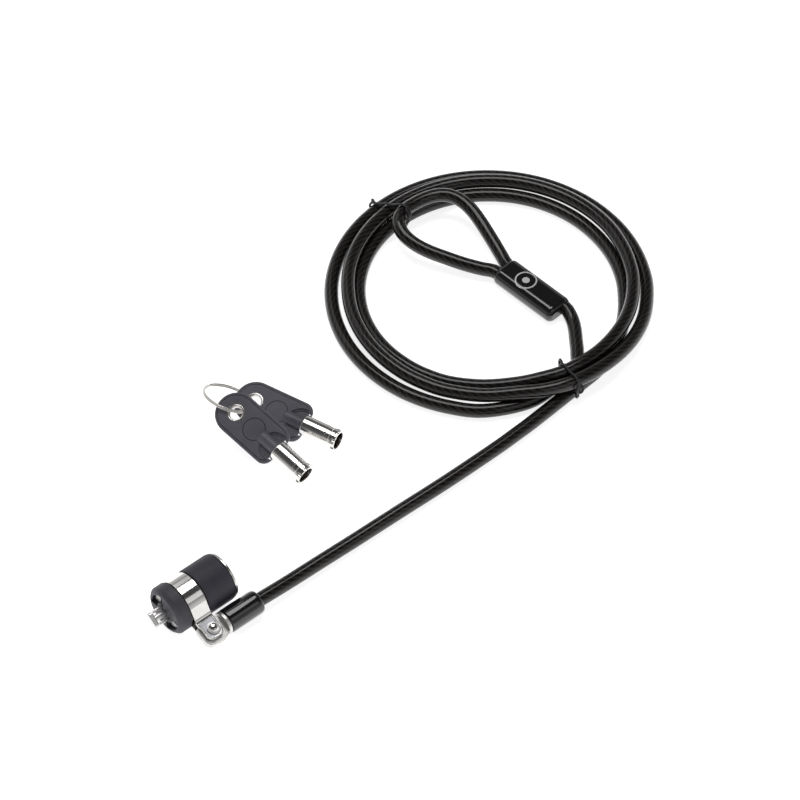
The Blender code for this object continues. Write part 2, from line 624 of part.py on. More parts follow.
def make_key_ring(nickel):
    """A closed nickel ring through both eyelets, leaning on the keys."""
    sides = 8
    angles = [2 * math.pi * i / sides for i in range(sides)]
    profile = [(KEY_RING_R + KEY_RING_WIRE_R * math.sin(a), KEY_RING_WIRE_R * math.cos(a)) for a in angles]
    lean = Vector(KEY_RING_NORMAL).to_track_quat("Z", "Y").to_matrix().to_4x4()
    place = Matrix.Translation(placed(*KEY_RING_CENTRE)) @ lean
    turned("key_ring", profile, place, nickel, 40, closed=True)


def build():
    clear_scene()
    chrome = material("polished_chrome", (0.78, 0.77, 0.75), 0.08, 1.0)
    steel = material("bright_steel", (0.62, 0.61, 0.6), 0.25, 1.0)
    zinc = material("satin_zinc", (0.62, 0.61, 0.59), 0.35, 1.0)
    nickel = material("nickel", (0.7, 0.68, 0.63), 0.2, 1.0)
    brass = material("brass", (0.72, 0.55, 0.25), 0.3, 1.0)
    aluminium = material("aluminium", (0.7, 0.71, 0.72), 0.4, 1.0)
    rubber = material("matte_rubber", (0.03, 0.03, 0.035), 0.6)
    black = material("black_moulding", (0.04, 0.04, 0.045), 0.5)
    glossy = material("glossy_boot", (0.01, 0.01, 0.012), 0.12)
    jacket = material("smoke_jacket", (0.02, 0.017, 0.015), 0.15)
    plastic = material("key_plastic", (0.08, 0.08, 0.09), 0.45)
    make_nose(steel, zinc, black)
    make_rear(chrome, rubber, steel)
    make_tumblers(brass, steel)
    make_collar(chrome, steel)
    make_fitting(zinc, glossy)
    make_cable(jacket, black)
    make_ferrule(aluminium, glossy)
    for number, (eyelet, *turns) in enumerate(KEY_PLACES, 1):
        bearing, pitch, roll = (math.radians(turn) for turn in turns)
        make_key(number, key_frame(eyelet, bearing, pitch, roll), plastic, chrome, nickel)
    make_key_ring(nickel)


build()
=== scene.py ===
"""Looks of a laptop cable lock: lock head on its collar, coiled cable with an eye, and two keys on a ring.

Lengths are in millimetres and turned into metres by MM. The head lies on its side with its axis along X, the
T-bar to -X and the keyway to +X. Points of the cable and of the keys are counted from the centre of the
head's nose.
"""
import json
import math

import bmesh
import bpy
from mathutils import Matrix, Vector


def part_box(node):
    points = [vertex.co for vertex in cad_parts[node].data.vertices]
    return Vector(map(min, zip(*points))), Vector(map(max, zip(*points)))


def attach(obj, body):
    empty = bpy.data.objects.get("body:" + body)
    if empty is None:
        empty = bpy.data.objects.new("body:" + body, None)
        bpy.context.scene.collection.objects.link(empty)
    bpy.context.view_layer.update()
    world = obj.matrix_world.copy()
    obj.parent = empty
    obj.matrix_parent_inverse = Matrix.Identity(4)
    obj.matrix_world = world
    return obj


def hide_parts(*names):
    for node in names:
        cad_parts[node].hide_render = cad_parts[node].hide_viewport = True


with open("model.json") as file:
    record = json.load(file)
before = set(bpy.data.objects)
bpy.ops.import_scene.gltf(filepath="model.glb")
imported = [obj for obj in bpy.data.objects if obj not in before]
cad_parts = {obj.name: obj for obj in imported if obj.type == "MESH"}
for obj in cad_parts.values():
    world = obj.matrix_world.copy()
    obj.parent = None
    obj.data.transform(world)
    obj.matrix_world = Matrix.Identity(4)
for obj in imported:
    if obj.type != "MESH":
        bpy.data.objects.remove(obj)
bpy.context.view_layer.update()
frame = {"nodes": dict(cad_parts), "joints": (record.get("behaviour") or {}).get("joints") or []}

MM = 0.001
JOINTS = {joint["name"]: joint for joint in frame["joints"]}
SCENE = bpy.context.scene
AROUND = 96

CAMERA_LENS = 188.64
CAMERA_PLACE = (-529.2, -756.7, 1225.7)
CAMERA_TARGET = (135.8, 27.8, 0)

# Cable, coil and ferrule.
CABLE_R = 2.75
CABLE_SIDES = 20
ROUTE_STEP = 2.0
TIE_R = 0.5
TIE_SIDES = 12
ROPE_LAY = 31.0
ROPE_STRANDS = 9
COIL_CENTRE = (196.0, 46.0)
COIL_START = math.radians(-97)
COIL_R = 55
FERRULE_CENTRE = (208.6, 34.6, 3.8)
FERRULE_TURN = math.radians(4.8)
FERRULE_SIZE = (12.8, 7.6, 31.0)
FERRULE_LOBE = 2.9
BADGE_R = 4.4
BADGE_PLACE = -3.1
BADGE_LIFT = 0.03
BADGE_SINK = -0.1

# Head, from the nose's front face.
NOSE_R = 9.7
T_ANGLE = math.radians(20)
EAR_END = 19.2
EAR_OUT = 3.1
EAR_IN = 1.9
BAND = (6.0, 13.2)
BAND_R = (8.3, 9.25)
EAR_BEND = (9.9, 10.2)
PANEL_RIM = 0.75
PANEL_DEPTH = 0.25
PANEL_START = 11.3
RIVET_HOLE = 1.7
T_BAR_HALF = (3.1, 1.45)
T_BAR_SPAN = (-6.2, -4.4)
SHAFT_R = 1.25
PIN_PLACE = 2.5
PIN_R = 0.65
WINDOW_R = (4.2, 7.4)
WINDOW_HALF = 40
BOSS_DEPTH = 1.6

# Keys.
KEY_HALF = 8.2
KEY_END = 22.8
KEY_CORNER = 4.0
KEY_MOUTH = 4.9
KEY_TIP = 36.7
KEY_STEP = 1.25
KEY_GROOVE = 0.3
KEY_RIM_TOP = 0.55
KEY_TOP = 1.0
WEB_HALF = 0.25
SHANK_R = 2.7
TUBE_START = 21.8
CIRCLE_R = (4.2, 4.5)
CIRCLE_PLACE = 9.7
RING_R = 10.0
RING_WIRE = 0.36
RING_LIFT = 0.3
RING_CENTRE = (82.3, 65.01, 8.37)
RING_NORMAL = (0.5045, 0.0946, 0.8582)
CUTS = (1.9, 1.2, 2.4, 1.5, 2.1, 1.0, 1.7)
STATIONS = 8


def frame_of(origin, x_axis, y_axis):
    """A placement with its X and Y axes along the two directions given."""
    turn = Matrix((x_axis, y_axis, x_axis.cross(y_axis))).transposed()
    return Matrix.Translation(origin) @ turn.to_4x4()


def shift(x, y, z):
    return Matrix.Translation(Vector((x, y, z)) * MM)


NOSE = Vector(JOINTS["lock_swivel"]["pos_m"])
RIVET = Vector(JOINTS["collar_swing"]["pos_m"])
ALONG = Vector((1, 0, 0))
EAR = Vector((0, RIVET.y - NOSE.y, RIVET.z - NOSE.z)).normalized()
DOWN = ALONG.cross(EAR)
HEAD = frame_of(NOSE, EAR, DOWN)
FACING = HEAD @ Matrix.Rotation(T_ANGLE, 4, "Z")
FITTING = frame_of(RIVET, ALONG, EAR)
FITTING_AXIS = FITTING @ Matrix.Rotation(math.pi / 2, 4, "Y")
UP_RIVET = FITTING @ Matrix.Rotation(math.pi, 4, "X")


def placed(x, y, z):
    """A point counted from the nose's centre on the table, in the frame."""
    return Vector((NOSE.x, NOSE.y, 0)) + Vector((x, y, z)) * MM


# ---------------------------------------------------------------- meshes

def link(name, mesh, place=None):
    """An object of that mesh in the scene, at a placement."""
    obj = bpy.data.objects.new(name, mesh)
    obj.matrix_world = place or Matrix()
    SCENE.collection.objects.link(obj)
    return obj


def solid(name, vertices, faces):
    """A mesh with its double points joined and its faces turned outward."""
    mesh = bpy.data.meshes.new(name)
    mesh.from_pydata(vertices, [], faces)
    build = bmesh.new()
    build.from_mesh(mesh)
    bmesh.ops.remove_doubles(build, verts=build.verts, dist=0.0000005)
    bmesh.ops.recalc_face_normals(build, faces=build.faces)
    build.to_mesh(mesh)
    build.free()
    return mesh


def rounded(profile, closed):
    """Corners (radius, station, rounding) as a line whose corners are eased off by their rounding."""
    line = []
    count = len(profile)
    for i, corner in enumerate(profile):
        here = Vector(corner[:2])
        ease = corner[2] if len(corner) > 2 else 0
        if not ease or (not closed and i in (0, count - 1)):
            line.append(here)
            continue
        before = Vector(profile[i - 1][:2]) - here
        after = Vector(profile[(i + 1) % count][:2]) - here
        a = here + before.normalized() * min(ease, before.length * 0.48)
        b = here + after.normalized() * min(ease, after.length * 0.48)
        for step in range(7):
            t = step / 6
            line.append(a * (1 - t) ** 2 + here * 2 * t * (1 - t) + b * t * t)
    return line


def lathe(name, profile, closed=False, steps=AROUND):
    """A turned body about local Z from a profile of (radius, station, rounding) corners."""
    line = rounded(profile, closed)
    vertices, rings, faces = [], [], []
    for point in line:
        count = 1 if point.x < 0.0001 else steps
        rings.append([len(vertices) + k for k in range(count)])
        for k in range(count):
            angle = 2 * math.pi * k / steps
            vertices.append(Vector((point.x * math.cos(angle), point.x * math.sin(angle), point.y)) * MM)
    for i in range(len(line) if closed else len(line) - 1):
        a, b = rings[i], rings[(i + 1) % len(line)]
        for k in range(steps):
            n = (k + 1) % steps
            corners = [a[k % len(a)], a[n % len(a)], b[n % len(b)], b[k % len(b)]]
            face = list(dict.fromkeys(corners))
            if len(face) > 2:
                faces.append(face)
    return solid(name, vertices, faces)


def arc(centre, radius, start, end, count):
    """Points on a circle from one angle to another, both ends included."""
    angles = [start + (end - start) * i / (count - 1) for i in range(count)]
    return [(centre[0] + radius * math.cos(a), centre[1] + radius * math.sin(a)) for a in angles]


def rounded_outline(low, high, radii, count=10):
    """A rectangle with round corners. The radii start at the high-x low-y corner and go to the left."""
    (x0, y0), (x1, y1) = low, high
    outline = []
    corners = ((x1, y0, -1, 1), (x1, y1, -1, -1), (x0, y1, 1, -1), (x0, y0, 1, 1))
    for quarter, ((x, y, sx, sy), radius) in enumerate(zip(corners, radii)):
        start = math.radians(-90 + 90 * quarter)
        outline += arc((x + sx * radius, y + sy * radius), radius, start, start + math.pi / 2, count)
    return outline


def stack(name, sections):
    """One body through outlines of the same number of points, each (outline, local Z), counterclockwise."""
    count = len(sections[0][0])
    top = (len(sections) - 1) * count
    vertices = [Vector((x, y, z)) * MM for outline, z in sections for x, y in outline]
    faces = [tuple(range(count - 1, -1, -1)), tuple(range(top, top + count))]
    for base in range(0, top, count):
        faces += [(base + i, base + (i + 1) % count, base + count + (i + 1) % count, base + count + i)
                  for i in range(count)]
    return solid(name, vertices, faces)


def plate(name, outline, low, high):
    """An outline raised from local Z low to high."""
    return stack(name, [(outline, low), (outline, high)])


def eased_levels(low, high, ease, count=5):
    """(inset, station) pairs that round off a plate's two faces."""
    angles = [math.pi / 2 * i / count for i in range(count + 1)]
    levels = [(ease * (1 - math.sin(a)), low + ease * (1 - math.cos(a))) for a in angles]
    return levels + [(inset, low + high - z) for inset, z in reversed(levels)]


def eased_block(name, low, high, radius, stations, ease):
    """A plate with round corners in outline and rounded edges, between two stations."""
    def outline(inset):
        (x0, y0), (x1, y1) = low, high
        corner = max(radius - inset, 0.05)
        return rounded_outline((x0 + inset, y0 + inset), (x1 - inset, y1 - inset), (corner,) * 4, 12)

    return stack(name, [(outline(inset), z) for inset, z in eased_levels(*stations, ease)])


def box(name, low, high):
    (x0, y0, z0), (x1, y1, z1) = low, high
    return plate(name, [(x0, y0), (x1, y0), (x1, y1), (x0, y1)], z0, z1)


def rod(name, radius, low, high, steps=48):
    """A round bar along local Z."""
    return lathe(name, [(0, high), (radius, high), (radius, low), (0, low)], steps=steps)


def smooth_route(points, spacing, closed=False):
    """Even points on the smooth curve through the route's own points."""
    count = len(points)
    fine = []
    for i in range(count if closed else count - 1):
        if closed:
            a, b, c, d = (points[(i + k) % count] for k in (-1, 0, 1, 2))
        else:
            a, b, c, d = (points[min(max(i + k, 0), count - 1)] for k in (-1, 0, 1, 2))
        for step in range(16):
            t = step / 16
            fine.append(0.5 * (2 * b + (c - a) * t + (2 * a - 5 * b + 4 * c - d) * t * t
                               + (3 * b - a - 3 * c + d) * t ** 3))
    fine.append(points[0] if closed else points[-1])
    total = sum((q - p).length for p, q in zip(fine, fine[1:]))
    steps = max(3, round(total / spacing))
    even, walked = [fine[0]], 0.0
    for p, q in zip(fine, fine[1:]):
        length = (q - p).length
        while len(even) < steps and walked + length >= total / steps * len(even):
            even.append(p.lerp(q, (total / steps * len(even) - walked) / length))
        walked += length
    return even if closed else even + [fine[-1]]


def sweep(name, path, radius, sides, closed=False, tips=0.0):
    """A round wire along a path in metres. Its UV map holds the turn about the wire and the metres along."""
    count = len(path)
    tangents = []
    for i in range(count):
        before = path[(i - 1) % count] if closed or i else path[0]
        after = path[(i + 1) % count] if closed or i < count - 1 else path[-1]
        tangents.append((after - before).normalized())
    normal = tangents[0].orthogonal().normalized()
    vertices, faces, walked = [], [], [0.0]
    for i, (point, tangent) in enumerate(zip(path, tangents)):
        normal = (normal - tangent * normal.dot(tangent)).normalized()
        other = tangent.cross(normal)
        if i:
            walked.append(walked[-1] + (point - path[i - 1]).length)
        near_tip = not closed and i in (0, count - 1)
        r = radius * MM * (1 - tips if near_tip else 1)
        for k in range(sides):
            angle = 2 * math.pi * k / sides
            vertices.append(point + (normal * math.cos(angle) + other * math.sin(angle)) * r)
    spans = count if closed else count - 1
    for i in range(spans):
        a, b = i * sides, (i + 1) % count * sides
        faces += [(a + k, a + (k + 1) % sides, b + (k + 1) % sides, b + k) for k in range(sides)]
    mesh = bpy.data.meshes.new(name)
    if not closed:
        faces += [tuple(range(sides - 1, -1, -1)), tuple((count - 1) * sides + k for k in range(sides))]
    mesh.from_pydata(vertices, [], faces)
    turns = mesh.uv_layers.new(name="lay").data
    for face in mesh.polygons:
        i, k = divmod(face.index, sides)
        if i >= spans:
            continue
        length = walked[i + 1] if i + 1 < count else walked[i] + (path[0] - path[-1]).length
        corners = ((k, walked[i]), (k + 1, walked[i]), (k + 1, length), (k, length))
        for loop, (turn, along) in zip(face.loop_indices, corners):
            turns[loop].uv = (turn / sides, along)
    return mesh


def cut(obj, cutters, operation="DIFFERENCE"):
    """Cuts (mesh, placement) bodies out of obj, or adds them to it."""
    tools = []
    for mesh, place in cutters:
        tools.append(link("cutter", mesh, place))
        step = obj.modifiers.new("cut", "BOOLEAN")
        step.operation = operation
        step.object = tools[-1]
    apply_modifiers(obj)
    for tool in tools:
        bpy.data.objects.remove(tool)


def ease_edges(obj, width, segments, angle):
    """Rounds the edges that turn by more than the angle."""
    step = obj.modifiers.new("eased", "BEVEL")
    step.width = width * MM
    step.segments = segments
    step.limit_method = "ANGLE"
    step.angle_limit = math.radians(angle)
    step.use_clamp_overlap = False
    apply_modifiers(obj)


def apply_modifiers(obj):
    bpy.context.view_layer.update()
    mesh = bpy.data.meshes.new_from_object(obj.evaluated_get(bpy.context.evaluated_depsgraph_get()))
    obj.modifiers.clear()
    obj.data = mesh


def dress(obj, paint, body, slot, *nodes, sharp=32):
    """Smooth shading, material, and the body and CAD nodes that a piece goes with. The slot is not used."""
    obj.data.transform(obj.matrix_world)
    obj.matrix_world = Matrix()
    if not obj.data.materials:
        obj.data.materials.append(paint)
    obj.data.shade_smooth()
    obj.data.set_sharp_from_angle(angle=math.radians(sharp))
    # Large flat faces keep their own direction, and the eased edges beside them take the turn.
    if any(len(face.vertices) > 8 for face in obj.data.polygons):
        obj.modifiers.new("even", "WEIGHTED_NORMAL").keep_sharp = True
    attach(obj, body)
    if nodes:
        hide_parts(*nodes)
    return obj


# ---------------------------------------------------------------- materials

class Surface:
    """A Principled material with the nodes that vary it over the surface."""

    def __init__(self, name, roughness, metallic=0.0, **sockets):
        self.material = bpy.data.materials.new(name)
        self.material.use_nodes = True
        self.tree = self.material.node_tree
        self.shader = self.tree.nodes["Principled BSDF"]
        self.shader.inputs["Metallic"].default_value = metallic
        self.shader.inputs["Roughness"].default_value = roughness
        for socket, value in sockets.items():
            self.shader.inputs[socket.replace("_", " ")].default_value = value
        self.place = self.tree.nodes.new("ShaderNodeTexCoord").outputs["Object"]

    def node(self, kind, **settings):
        made = self.tree.nodes.new("ShaderNode" + kind)
        for key, value in settings.items():
            setattr(made, key, value)
        return made

    def join(self, output, socket):
        self.tree.links.new(output, socket)

    def compute(self, operation, *values):
        step = self.node("Math", operation=operation)
        for socket, value in zip(step.inputs, values):
            if isinstance(value, (int, float)):
                socket.default_value = value
            else:
                self.join(value, socket)
        return step.outputs[0]

    def noise(self, scale, detail=3.0):
        texture = self.node("TexNoise")
        texture.inputs["Scale"].default_value = scale
        texture.inputs["Detail"].default_value = detail
        self.join(self.place, texture.inputs["Vector"])
        return texture.outputs["Fac"]

    def spread(self, value, low, high, start=0.3, end=0.7):
        """The value's span from start to end, laid over the one from low to high."""
        step = self.node("MapRange")
        for socket, number in (("From Min", start), ("From Max", end), ("To Min", low), ("To Max", high)):
            step.inputs[socket].default_value = number
        self.join(value, step.inputs["Value"])
        return step.outputs["Result"]

    def mix(self, factor, first, second):
        step = self.node("MixRGB")
        step.inputs[1].default_value = (*first, 1)
        step.inputs[2].default_value = (*second, 1)
        self.join(factor, step.inputs[0])
        return step.outputs["Color"]

    def bump(self, height, distance):
        step = self.node("Bump")
        step.inputs["Distance"].default_value = distance * MM
        self.join(height, step.inputs["Height"])
        self.join(step.outputs["Normal"], self.shader.inputs["Normal"])

    def vary(self, dark, light, roughness, blotch, grain, relief):
        """Colour between dark and light in soft blotches, roughness over a range, and a fine relief."""
        soft = self.spread(self.noise(blotch), 0, 1)
        self.join(self.mix(soft, dark, light), self.shader.inputs["Base Color"])
        fine = self.noise(grain, 4.0)
        self.join(self.spread(fine, *roughness), self.shader.inputs["Roughness"])
        self.bump(fine, relief)
        return self.material


def metal(name, dark, light, roughness, grain, relief, metallic=1.0):
    return Surface(name, roughness[0], metallic).vary(dark, light, roughness, 140, grain, relief)


def moulding(name, dark, light, roughness, grain, relief, **sockets):
    return Surface(name, roughness[0], 0.0, **sockets).vary(dark, light, roughness, 90, grain, relief)


def vinyl_rope():
    """Clear smoke vinyl over a twisted black rope: stripes follow the lay, under a smooth glossy coat."""
    made = Surface("vinyl_rope", 0.32, 0.0, Coat_Weight=0.75, Coat_Roughness=0.045, Coat_IOR=1.5,
                   Specular_IOR_Level=0.12)
    turns = made.node("UVMap", uv_map="lay")
    parts = made.node("SeparateXYZ")
    made.join(turns.outputs["UV"], parts.inputs["Vector"])
    along = made.compute("MULTIPLY", parts.outputs["Y"], 1 / (ROPE_LAY * MM))
    turn = made.compute("SUBTRACT", parts.outputs["X"], along)
    phase = made.compute("MULTIPLY", turn, 2 * math.pi * ROPE_STRANDS)
    strand = made.spread(made.compute("COSINE", phase), 0, 1, -0.75, 0.55)
    share = made.compute("MULTIPLY", strand, made.spread(made.noise(260, 2.0), 0.55, 1.0))
    colour = made.mix(share, (0.0022, 0.0014, 0.0010), (0.026, 0.021, 0.019))
    made.join(colour, made.shader.inputs["Base Color"])
    made.join(made.spread(made.noise(900), 0.26, 0.40), made.shader.inputs["Roughness"])
    made.bump(strand, 0.035)
    return made.material


CHROME = metal("polished_chrome", (0.78, 0.765, 0.745), (0.85, 0.835, 0.815), (0.10, 0.16), 700, 0.0)
STEEL = metal("bright_steel", (0.70, 0.69, 0.68), (0.82, 0.81, 0.80), (0.28, 0.40), 1500, 0.001)
ZINC = metal("satin_zinc", (0.70, 0.69, 0.67), (0.82, 0.81, 0.79), (0.34, 0.46), 1800, 0.003)
PANEL = metal("satin_panel", (0.42, 0.42, 0.45), (0.60, 0.60, 0.63), (0.32, 0.46), 1100, 0.010)
NICKEL = metal("nickel", (0.70, 0.68, 0.65), (0.80, 0.78, 0.75), (0.16, 0.26), 900, 0.0)
BRASS = metal("brass", (0.58, 0.42, 0.18), (0.74, 0.57, 0.28), (0.25, 0.40), 1400, 0.003)
ALUMINIUM = metal("aluminium", (0.60, 0.61, 0.62), (0.74, 0.75, 0.76), (0.35, 0.5), 1500, 0.004)
# Painted shade: a dark brown metal for the inside of the key tubes, standing for the shade deep in the bore.
BORE_SHADE = metal("tube_bore_painted_shade", (0.16, 0.10, 0.06), (0.34, 0.24, 0.15), (0.45, 0.6), 1300, 0.006)
RUBBER = moulding("matte_rubber", (0.027, 0.026, 0.038), (0.039, 0.038, 0.053), (0.52, 0.66), 2600, 0.010)
NOSE_BLACK = moulding("black_moulding", (0.042, 0.040, 0.051), (0.062, 0.060, 0.075), (0.46, 0.60), 2600,
                      0.008)
KEY_GREY = moulding("key_plastic", (0.098, 0.095, 0.116), (0.132, 0.128, 0.154), (0.38, 0.52), 2400, 0.008)
# Painted shade: a thin dark ring on the bow stands for the shade in its engraved circle.
CIRCLE_SHADE = moulding("circle_painted_shade", (0.008, 0.008, 0.010), (0.014, 0.014, 0.017), (0.4, 0.55), 2000, 0.004)
GLOSS = moulding("glossy_boot", (0.004, 0.004, 0.005), (0.009, 0.009, 0.011), (0.10, 0.17), 500, 0.002,
                 Coat_Weight=0.8, Coat_Roughness=0.06)
TIE = moulding("tie_wire", (0.010, 0.010, 0.011), (0.022, 0.022, 0.024), (0.42, 0.6), 1800, 0.012)
BADGE = moulding("badge_print", (0.70, 0.70, 0.71), (0.82, 0.82, 0.83), (0.3, 0.42), 1200, 0.002)
RING = metal("ring_wire", (0.58, 0.56, 0.53), (0.72, 0.70, 0.67), (0.26, 0.38), 1500, 0.001)
CAST = metal("cast_metal", (0.74, 0.73, 0.71), (0.86, 0.85, 0.83), (0.42, 0.55), 1500, 0.003, metallic=0.45)
ROPE = vinyl_rope()


# ---------------------------------------------------------------- camera

camera = bpy.data.objects.new("camera", bpy.data.cameras.new("camera"))
SCENE.collection.objects.link(camera)
SCENE.camera = camera
camera.data.lens = CAMERA_LENS
camera.data.sensor_width = 36
camera.location = placed(*CAMERA_PLACE)
camera.rotation_euler = (placed(*CAMERA_TARGET) - camera.location).to_track_quat("-Z", "Y").to_euler()


# ---------------------------------------------------------------- cable

LEAD = (
    (31.3, -14.7, 4.8), (36, -14.7, 4.5), (43, -14.7, 4.0), (50, -14.6, 3.5), (62, -14.6, 3.1),
    (76, -14.8, 2.8), (98, -15.2, 2.8), (122, -15.7, 2.8), (146, -15.6, 2.8), (157, -15.2, 2.8),
    (166.5, -14.7, 2.8),
)
# The coil: turns walked from the start, distance from the coil's centre, height of the cable's middle.
COIL = (
    (0.00, 59.2, 2.8), (0.04, 57.6, 2.8), (0.08, 55.7, 2.8), (0.12, 54.1, 2.8), (0.16, 53.1, 2.8),
    (0.25, 52.2, 2.8), (0.41, 51.2, 2.8), (0.53, 50.8, 2.8), (0.66, 50.2, 2.8), (0.80, 49.3, 2.8),
    (0.86, 48.9, 2.8), (0.90, 48.9, 3.5), (0.94, 50.3, 5.5), (0.97, 52.2, 7.4), (1.00, 53.9, 8.3),
    (1.04, 54.8, 8.35), (1.08, 55.6, 8.3), (1.12, 56.2, 7.7), (1.16, 56.5, 7.1), (1.25, 56.6, 7.0),
    (1.41, 55.9, 5.9), (1.53, 55.2, 6.1), (1.66, 54.3, 6.5), (1.80, 54.8, 5.6), (1.86, 55.2, 5.5),
    (1.90, 55.7, 6.2), (1.94, 57.0, 8.0), (1.97, 58.8, 8.4), (2.00, 60.0, 8.4), (2.04, 60.7, 7.6),
    (2.08, 61.3, 5.6), (2.12, 61.8, 3.8), (2.16, 62.0, 2.9), (2.25, 61.8, 2.8), (2.41, 61.0, 2.8),
    (2.53, 60.9, 2.8), (2.66, 60.9, 2.8), (2.80, 60.8, 2.8), (2.90, 60.6, 2.8), (2.94, 58.6, 2.8),
    (2.97, 55.9, 2.8), (3.00, 53.5, 2.8),
)
TAIL = (
    (195.4, -5.1, 2.8), (201.0, -0.6, 2.8), (205.4, 5.0, 2.8), (208.6, 9.2, 2.9), (210.8, 12.8, 3.2),
    (212.2, 16.4, 3.6), (212.8, 18.9, 3.8), (212.6, 21.9, 3.8),
)
LOOP = (
    (210.6, 46.3, 3.8), (210.4, 51.1, 3.8), (211.4, 55.2, 4.2), (212.9, 61.3, 5.2), (214.3, 67.5, 6.2),
    (215.3, 73.0, 7.4), (215.8, 78.2, 8.6), (215.5, 83.3, 9.6), (213.9, 87.8, 10.3), (210.8, 91.2, 10.6),
    (206.0, 93.4, 10.6), (199.6, 94.4, 10.6), (193.4, 94.0, 10.6), (188.8, 91.2, 10.3), (186.6, 86.0, 9.4),
    (187.2, 80.0, 8.2), (189.6, 74.0, 7.0), (193.2, 67.6, 6.0), (197.0, 61.4, 5.0), (201.0, 55.8, 4.2),
    (204.3, 51.5, 3.8), (204.8, 45.8, 3.8),
)


def coil_route(points_a_turn=30):
    """Points round the coil, its distance and height changing evenly between their stations."""
    x, y = COIL_CENTRE
    route = []
    for (t0, r0, z0), (t1, r1, z1) in zip(COIL, COIL[1:]):
        count = max(1, round((t1 - t0) * points_a_turn))
        for i in range(count):
            s = i / count
            angle = COIL_START + 2 * math.pi * (t0 + (t1 - t0) * s)
            r, z = r0 + (r1 - r0) * s, z0 + (z1 - z0) * s
            route.append(placed(x + r * math.cos(angle), y + r * math.sin(angle), z))
    return route


def make_cable():
    """The cable from the boot round the coil to the ferrule, and the eye that leaves and re-enters it."""
    points = [placed(*p) for p in LEAD] + coil_route() + [placed(*p) for p in TAIL]
    path = smooth_route(points, ROUTE_STEP * MM)
    loop_path = smooth_route([placed(*p) for p in LOOP], ROUTE_STEP * MM)
    cable = link("cable", sweep("cable", path, CABLE_R, CABLE_SIDES))
    dress(cable, ROPE, "cable", "smoke_jacket", "cable_lead", "cable_coil", "cable_tail", sharp=60)
    loop = link("cable_eye", sweep("cable_eye", loop_path, CABLE_R, CABLE_SIDES))
    dress(loop, ROPE, "cable", "smoke_jacket", "cable_loop", sharp=60)
    return cable, path, loop, loop_path


def make_tie(number, angle, wraps, ends, skew):
    """A wire tie across the coil at that angle, through (distance, height) points, with its free ends."""
    across = Matrix.Translation(placed(*COIL_CENTRE, 0)) @ Matrix.Rotation(angle, 4, "Z")

    def spot(r, z, side=0.0):
        return across @ (Vector((r, side + skew * (r - COIL_R), z)) * MM)

    route = smooth_route([spot(*p) for p in wraps], 1.0 * MM, closed=True)
    tie = link(f"cable_tie_{number}_wrap", sweep("tie", route, TIE_R, TIE_SIDES, closed=True))
    dress(tie, TIE, "cable", "tie_wire", f"cable_tie_{number}", sharp=60)
    pieces = [tie]
    for i, end in enumerate(ends):
        route = smooth_route([spot(*p) for p in end], 0.8 * MM)
        tail = link(f"cable_tie_{number}_end_{i + 1}", sweep("tie_end", route, TIE_R, TIE_SIDES, tips=0.3))
        pieces.append(dress(tail, TIE, "cable", "tie_wire", sharp=60))
    return pieces


def make_ties():
    """One tie holds the coil where the lead joins it, the other where the eye lies on it."""
    first = make_tie(1, math.radians(-98), (
        (50.3, 0.8), (50.0, 3.0), (50.2, 6.0), (50.7, 9.0), (52.2, 11.1), (54.2, 11.6), (57.0, 11.2),
        (60.0, 11.7), (62.2, 10.9), (63.3, 8.6), (63.1, 5.6), (62.6, 2.6), (61.6, 0.8), (56.0, 0.6),
    ), (
        ((51.5, 10.8, 0.3), (49.4, 10.4, 0.9), (48.5, 8.6, 1.2), (49.0, 7.0, 0.9), (50.0, 6.4, 0.5)),
        ((62.6, 10.0, -0.4), (64.0, 9.4, -1.2), (64.3, 7.6, -1.6), (64.1, 5.8, -1.2), (64.2, 4.2, -0.9)),
        ((62.8, 9.2, 0.6), (64.2, 8.0, 1.2), (64.4, 6.6, 0.7), (63.9, 5.2, 0.1)),
    ), 0.03)
    second = make_tie(2, math.radians(94), (
        (44.8, 9.6), (45.0, 12.2), (46.4, 13.9), (48.4, 14.2), (50.9, 12.9), (53.6, 10.7), (56.4, 9.6),
        (59.6, 7.3), (62.4, 6.2), (64.2, 4.4), (64.2, 1.8), (62.4, 0.7), (56.0, 0.6), (50.0, 0.6),
        (47.4, 1.8), (46.4, 4.6), (45.2, 7.4),
    ), (
        ((46.6, 13.6, 0.4), (44.9, 13.0, 1.3), (43.9, 11.4, 1.9), (44.1, 9.9, 1.5)),
        ((62.6, 6.2, -0.4), (64.3, 5.8, -1.3), (64.9, 4.4, -1.8), (64.9, 2.9, -1.6)),
    ), 0.16)
    return first + second


